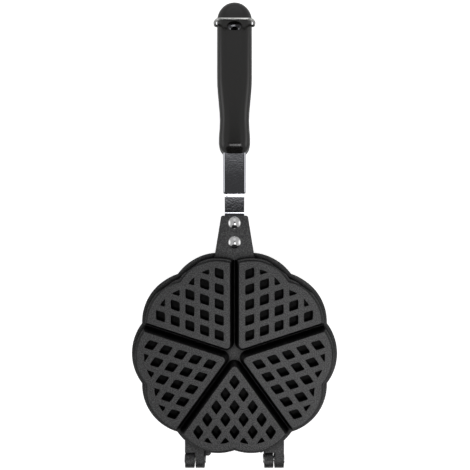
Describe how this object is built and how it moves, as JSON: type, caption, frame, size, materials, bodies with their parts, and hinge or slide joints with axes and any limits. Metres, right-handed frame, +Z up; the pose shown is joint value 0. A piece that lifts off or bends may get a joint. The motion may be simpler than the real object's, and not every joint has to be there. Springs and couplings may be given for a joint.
{
  "type": "stovetop waffle iron",
  "caption": "Hinged two-plate stovetop waffle iron that bakes heart-shaped waffles, with long strap handles, plastic grips and a swinging wire latch.",
  "frame": {"origin": "centre of the closed iron's box, in the plane it rests on", "axes": "+Z up from the rest plane, +Y along the handles from the hinge to the grips' tips, +X to the right of the handle seen from above"},
  "size_m": [0.17, 0.3838, 0.035],
  "materials": {
    "coated_casting": "black non-stick coating, satin",
    "plated_strap": "polished",
    "grip_plastic": "glossy black",
    "rivet_steel": "polished",
    "pin_steel": "satin",
    "screw_steel": "satin",
    "latch_wire": "polished"
  },
  "bodies": {
    "lower_half": {"lower_plate": "coated_casting", "lower_strap": "plated_strap", "lower_grip": "grip_plastic", "lower_rivet_inner": "rivet_steel", "lower_rivet_outer": "rivet_steel", "lower_grip_screw": "screw_steel", "hinge_pin_left": "pin_steel", "hinge_pin_right": "pin_steel"},
    "upper_half": {"upper_plate": "coated_casting", "upper_strap": "plated_strap", "upper_grip": "grip_plastic", "upper_rivet_inner": "rivet_steel", "upper_rivet_outer": "rivet_steel", "upper_grip_screw": "screw_steel"},
    "latch": {"wire_latch": "latch_wire"}
  },
  "joints": [
    {"name": "open_hinge", "type": "hinge", "parent": "lower_half", "child": "upper_half", "pos_m": [0, -0.18502, 0.014], "axis": [1, 0, 0], "range_deg": [0, 180]},
    {"name": "latch_swing", "type": "hinge", "parent": "upper_half", "child": "latch", "pos_m": [0, 0.17678, 0.0168], "axis": [1, 0, 0], "range_deg": [-185.5, 38]}
  ]
}
